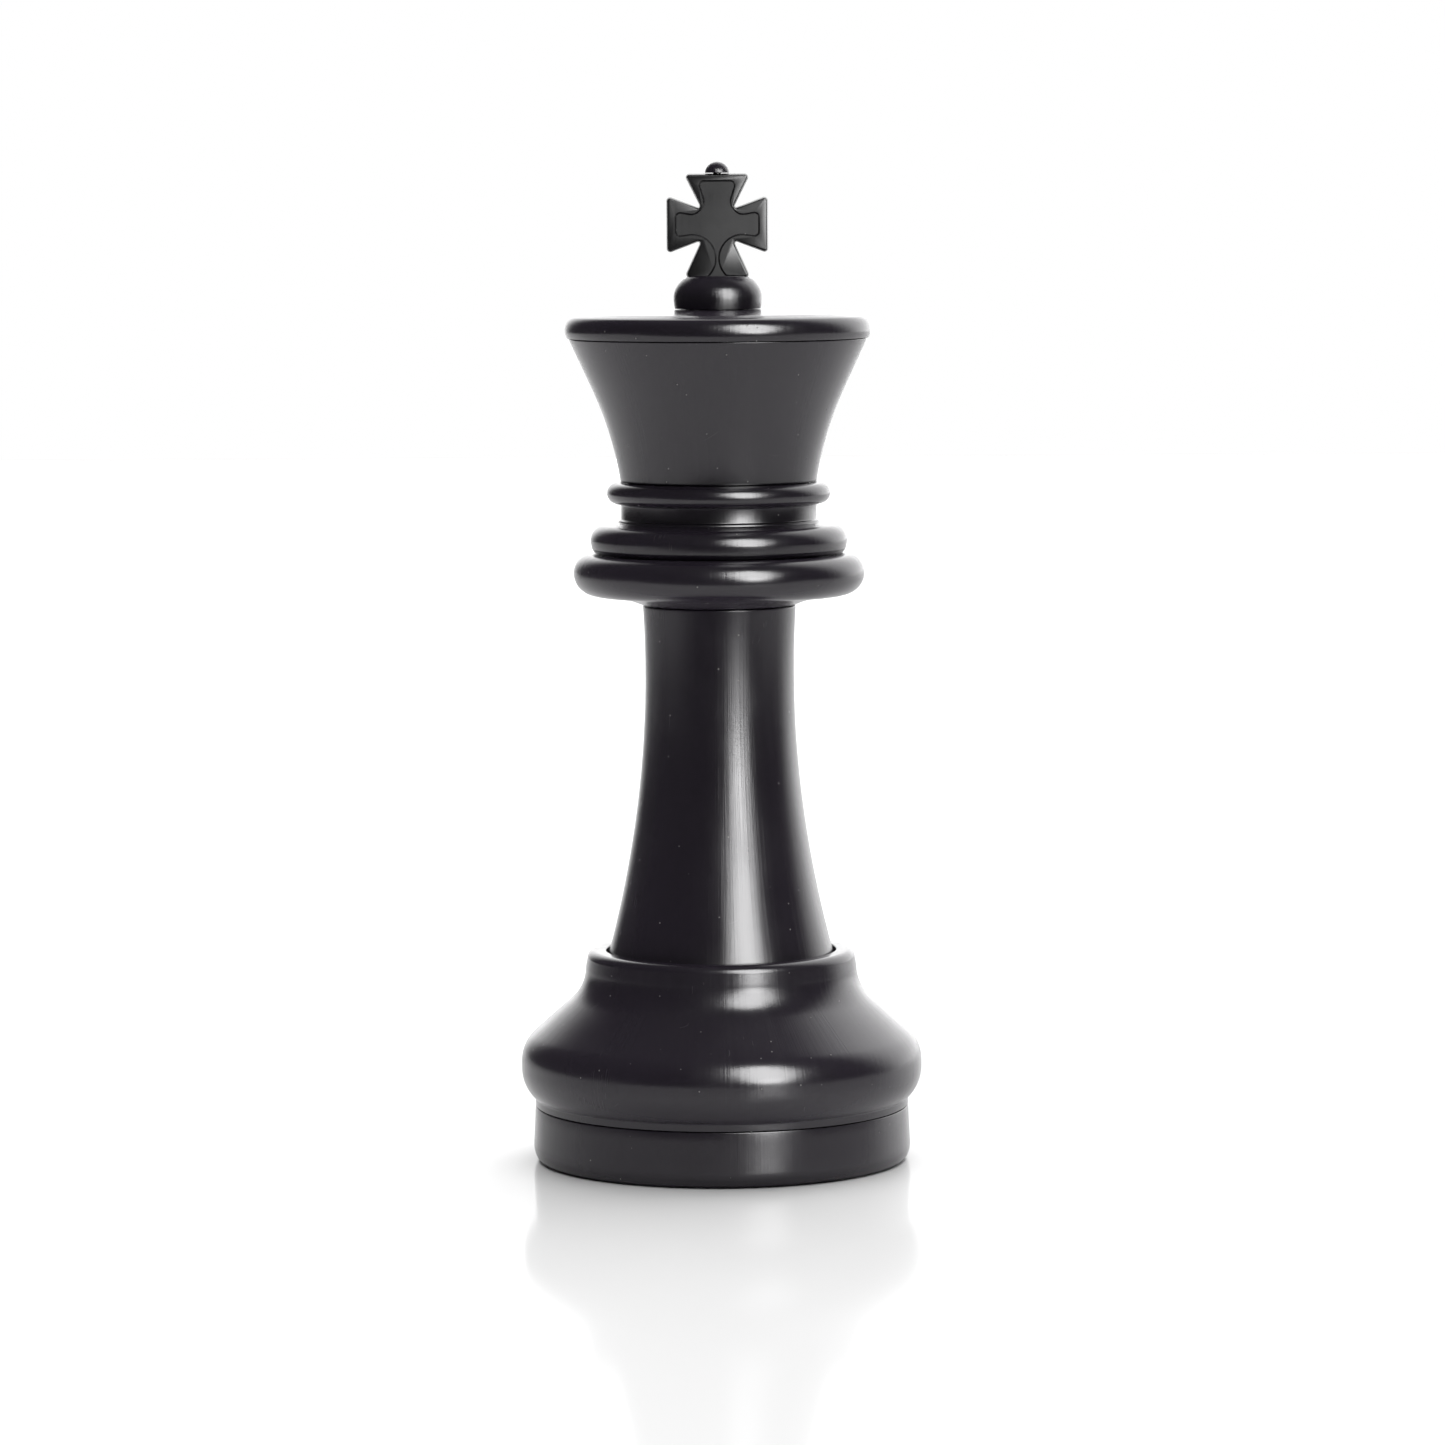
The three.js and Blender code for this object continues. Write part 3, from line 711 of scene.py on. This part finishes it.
def finial_bulb():
    """The onion-shaped bulb on its keyed peg, slotted on top for the cross."""
    middle = 351.7
    base = 347.2
    peg = 7.8
    hollow = 4.4
    hollow_top = 344
    low = -math.degrees(math.asin((middle - base) / 18.3))
    high = math.degrees(math.asin((BULB.high - middle) / 12.1))
    outline = [
        (0, hollow_top),
        (hollow, hollow_top, 0.5),
        (hollow, BULB.low, 0.4),
        (peg, BULB.low, 0.8),
        (peg, base + 1.5, 0.4),
        (14.6, base + 1.5, 0.4),
        (14.6, base, 0.4),
        *arc(0, middle, BULB.radius, low, 0, up=18.3),
        *arc(0, middle, BULB.radius, 4, high - 2, up=12.1, step=3),
        (12.2, BULB.high, 0.8),
        (0, BULB.high),
    ]
    bulb = lathe("finial_bulb_moulding", outline, outer_only(10, waviness(8, 0.03)), segments=144)
    key = box_solid("key", (2.2, 2.4, 18), (0, peg, BULB.low + 10))
    seat_size = (3 * BULB.radius, CROSS_THICK + 2 * SEAM_GAP, 10)
    seat = box_solid("seat", seat_size, (0, 0, BULB.high - SEAT_DEPTH + 5))
    slot = box_solid("slot", (TANG_WIDTH + 0.8, TANG_THICK + 0.8, 20), (0, 0, TANG_LOW - 0.3 + 10))
    combine(bulb, "UNION", key)
    screw_hole = lathe("screw_hole", [(0, 338), (1.9, 338), (1.9, 356), (0, 356)], segments=32)
    combine(bulb, "DIFFERENCE", seat, slot, screw_hole)
    return place(bulb, "finial_bulb", "finial", SHELL_BLACK)


def slab(name, outline, levels):
    """A plate in the XZ plane: the outline at several depths along Y, each with its own inset."""
    count = len(outline)
    points = [Vector(p) for p in outline]
    inward = []
    for i, point in enumerate(points):
        tangent = (points[(i + 1) % count] - points[i - 1]).normalized()
        inward.append(Vector((-tangent.y, tangent.x)))
    verts = []
    for depth, inset in levels:
        for point, way in zip(points, inward):
            x, z = point + way * inset
            verts.append((x * MM, depth * MM, z * MM))
    faces = [tuple(range(count)), tuple(reversed(range(len(verts) - count, len(verts))))]
    for level in range(len(levels) - 1):
        for i in range(count):
            k = (i + 1) % count
            a, b = level * count, (level + 1) * count
            faces.append((a + k, a + i, b + i, b + k))
    mesh = bpy.data.meshes.new(name)
    mesh.from_pydata(verts, [], faces)
    return finished(name, mesh)


def mirrored(right):
    """A closed outline from its right half, listed from top to bottom."""
    left = [(-p[0], *p[1:]) for p in reversed(right)]
    return list(reversed(right + left))


def cross_outline(centre, reach, foot):
    corner = 1.5
    crotch = 1.6
    right = [
        (13.55, centre + reach, corner),
        (7.1, centre + 7.6, crotch),
        (7.6, centre + 6.9, crotch),
        (reach, centre + 11.75, corner),
        (reach, centre - 11.75, corner),
        (7.6, centre - 6.9, crotch),
        (7.1, centre - 7.6, crotch),
        (13.55, centre - foot, corner),
    ]
    return rounded(mirrored(right), True)


def panel_outline(centre, foot):
    lobe = (10.2, centre - 13.6, 9.2)
    right = [
        (8.3, centre + 17.9, 2.2),
        (5.2, centre + 8.3, 4),
        (9, centre + 4.1, 4),
        (17.2, centre + 5.5, 2.2),
        (17.2, centre - 5.3, 2.2),
        *arc(*lobe, 88, 225),
        (lobe[0] - 4.4, centre - foot - 2),
    ]
    return rounded(mirrored(right), True)


def cross():
    """The cross: a drafted plate, a sunk panel on each face, a tang below and a hole for the ball's pin."""
    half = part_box("cross")[1].y / MM
    reach = CROSS.radius
    centre = CROSS.high - reach
    foot = centre - (BULB.high - SEAT_DEPTH + SEAM_GAP)
    depth = 0.65
    outline = cross_outline(centre, reach, foot)
    levels = [(-half, 0.95), (-half + 0.12, 0.68), (-half + 0.45, 0.5), (0, 0)]
    levels += [(half - 0.45, 0.5), (half - 0.12, 0.68), (half, 0.95)]
    plate = slab("cross_moulding", outline, levels)
    tang_high = centre - foot + 3
    tang = box_solid(
        "tang",
        (TANG_WIDTH, TANG_THICK, tang_high - TANG_LOW),
        (0, 0, (tang_high + TANG_LOW) / 2),
    )
    combine(plate, "UNION", tang)
    sunk = panel_outline(centre, foot)
    for face in (-1, 1):
        walls = [(face * (half + 1), 0), (face * half, 0), (face * (half - depth), 0.7)]
        panel = slab("panel", sunk, walls if face < 0 else walls[::-1])
        combine(plate, "DIFFERENCE", panel)
    pin_hole = [(0, CROSS.high - 6), (1.9, CROSS.high - 6), (1.9, CROSS.high + 1), (0, CROSS.high + 1)]
    combine(plate, "DIFFERENCE", lathe("pin_hole", pin_hole, segments=32))
    return place(plate, "cross", "finial", CROSS_BLACK)


def ball():
    """The ball: half a sphere on a pin that sits in the top of the cross."""
    radius = BALL.radius
    centre = BALL.high - radius
    seat = CROSS.high + 0.3
    pin = 1.6
    low = math.degrees(math.asin((seat - centre) / radius))
    outline = [
        (0, BALL.low),
        (pin, BALL.low, 0.3),
        (pin, seat, 0.3),
        (radius * math.cos(math.radians(low)), seat, 0.3),
        *arc(0, centre, radius, low + 5, 86, step=4),
        (0, BALL.high),
    ]
    return place(lathe("ball_moulding", outline, segments=96), "ball", "finial", SHELL_BLACK)


def cross_screw():
    """The screw inside the peg: a pan head with a cross recess."""
    under = 343.7
    spot = Place("cross_screw")
    outline = [
        (0, under - 2.2),
        (2.6, under - 2.2, 0.6),
        (3.6, under - 1.4, 0.6),
        (3.6, under, 0.2),
        (1.5, under, 0.2),
        (1.5, spot.high - 1.5, 0.3),
        (0, spot.high),
    ]
    screw = lathe("cross_screw_zinc", outline, segments=64)
    recess = [box_solid("recess", size, (0, 0, under - 1.9)) for size in ((3.4, 0.8, 1.6), (0.8, 3.4, 1.6))]
    combine(screw, "DIFFERENCE", *recess)
    return place(screw, "cross_screw", "finial", ZINC_PLATE)


def fill_plug():
    """The filler plug: a flanged threaded cup with a bar to turn it by."""
    flange_high = 3.4
    wall = 16.2
    cup = wall - WALL
    outline = [
        (0, PLUG.high - WALL),
        (cup, PLUG.high - WALL, 1.5),
        (cup, PLUG.low, 0.5),
        (PLUG.radius, PLUG.low, 0.6),
        (PLUG.radius, flange_high, 0.4),
        (wall, flange_high, 0.3),
        *along(flange_high + 0.6, PLUG.high - 1, 40, lambda z: wall),
        (wall, PLUG.high, 0.6),
        (0, PLUG.high),
    ]
    thread = on_wall(wall, helix(low=6.9, depth=1.5, **PLUG_THREAD))
    plug = lathe("fill_plug_moulding", outline, thread, segments=144)
    bar_high = PLUG.high - WALL + 0.3
    bar = box_solid("bar", (2 * cup + 0.8, 3.6, bar_high - 1.9), (0, 0, (bar_high + 1.9) / 2))
    combine(plug, "UNION", bar)
    return place(plug, "fill_plug", "plug", PLUG_BLACK)


def build_king():
    foot_pan()
    base_shell()
    fill_plug()
    washer("plug_washer_rubber", "plug_washer", "plug_seal", 18.6)
    washer("stem_washer_rubber", "stem_washer", "stem_seal", 43.4)
    stem()
    washer("head_washer_rubber", "head_washer", "head_seal", 24.7)
    collar()
    neck_ring()
    crown_cup()
    crown_lid()
    finial_bulb()
    cross()
    ball()
    cross_screw()


# ---------------------------------------------------------------- the studio
def table_top():
    """A glossy white table that mirrors the foot faintly and runs on into the white background."""
    mesh = bpy.data.meshes.new("table_top")
    left, front, right, back = (-2, -0.7, 2, 6)
    level = -0.0001  # a tenth of a millimetre under the foot
    corners = [(left, front, level), (right, front, level), (right, back, level), (left, back, level)]
    mesh.from_pydata(corners, [], [(0, 1, 2, 3)])
    table = bpy.data.objects.new("table_top", mesh)
    bpy.context.scene.collection.objects.link(table)
    n = Nodes("white_gloss")
    n.shader.inputs["Base Color"].default_value = (0.8, 0.8, 0.8, 1)
    n.shader.inputs["Roughness"].default_value = 0.1
    n.shader.inputs["IOR"].default_value = 1.07
    mesh.materials.append(n.material)


def surroundings():
    """White behind the king, dim in front of it; whatever the camera sees directly is white."""
    world = bpy.data.worlds.new("studio")
    bpy.context.scene.world = world
    world.use_nodes = True
    tree = world.node_tree
    tree.nodes.clear()
    direction = tree.nodes.new("ShaderNodeTexCoord")
    backwards = tree.nodes.new("ShaderNodeVectorMath")
    backwards.operation = "DOT_PRODUCT"
    backwards.inputs[1].default_value = (0.35, 0.87, 0.35)
    tree.links.new(direction.outputs["Generated"], backwards.inputs[0])
    behind = tree.nodes.new("ShaderNodeMapRange")
    behind.interpolation_type = "SMOOTHSTEP"
    behind.inputs["From Min"].default_value = 0.5
    behind.inputs["From Max"].default_value = 0.9
    behind.inputs["To Min"].default_value = 0.06
    behind.inputs["To Max"].default_value = 2.4
    tree.links.new(backwards.outputs["Value"], behind.inputs["Value"])
    seen = tree.nodes.new("ShaderNodeLightPath")
    white = tree.nodes.new("ShaderNodeMix")
    tree.links.new(seen.outputs["Is Camera Ray"], white.inputs["Factor"])
    tree.links.new(behind.outputs["Result"], white.inputs["A"])
    white.inputs["B"].default_value = 1.0
    background = tree.nodes.new("ShaderNodeBackground")
    background.inputs["Color"].default_value = (1, 1, 1, 1)
    tree.links.new(white.outputs["Result"], background.inputs["Strength"])
    output = tree.nodes.new("ShaderNodeOutputWorld")
    tree.links.new(background.outputs[0], output.inputs["Surface"])


def area_light(name, azimuth, elevation, distance, size, power, aim):
    """An oval softbox that shows only in reflections.

    Azimuth 0 is in front of the king, and turns to the right of someone facing it.
    """
    a = math.radians(azimuth)
    e = math.radians(elevation)
    way = Vector((math.sin(a) * math.cos(e), -math.cos(a) * math.cos(e), math.sin(e)))
    light = bpy.data.lights.new(name, "AREA")
    light.shape = "ELLIPSE"
    light.size, light.size_y = size
    light.energy = power
    lamp = bpy.data.objects.new(name, light)
    lamp.location = aim + way * distance
    lamp.rotation_euler = (-way).to_track_quat("-Z", "Y").to_euler()
    lamp.visible_diffuse = False
    bpy.context.scene.collection.objects.link(lamp)


def sky_light(strength):
    """An even wash from overhead that lights the table and shows in no reflection."""
    light = bpy.data.lights.new("sky_light", "SUN")
    light.energy = strength
    light.angle = math.radians(70)
    lamp = bpy.data.objects.new("sky_light", light)
    lamp.visible_glossy = False
    bpy.context.scene.collection.objects.link(lamp)


def lights():
    low, high = cad_box
    middle = (low + high) / 2
    distance = 1.6
    area_light("softbox", 27, 26, distance, size=(0.92, 1.7), power=60, aim=middle)
    area_light("low_softbox", 29, 2, distance, size=(0.6, 0.55), power=3.2, aim=middle)
    sky_light(2.5)


def camera():
    """The view of a long lens at the height of the king's top, turned a little down."""
    eye_distance = 2.35
    aim_height = 0.179
    tilt = math.radians(5.35)
    data = bpy.data.cameras.new("camera")
    data.sensor_width = 36
    data.lens = 144.4
    data.clip_end = 50
    view = bpy.data.objects.new("camera", data)
    view.location = (0.0022, -eye_distance, aim_height + eye_distance * math.tan(tilt))
    view.rotation_euler = (math.radians(90) - tilt, math.radians(0.3), 0)
    bpy.context.scene.collection.objects.link(view)
    bpy.context.scene.camera = view


bpy.context.scene.view_settings.view_transform = "Standard"
camera()
build_king()
table_top()
surroundings()
lights()
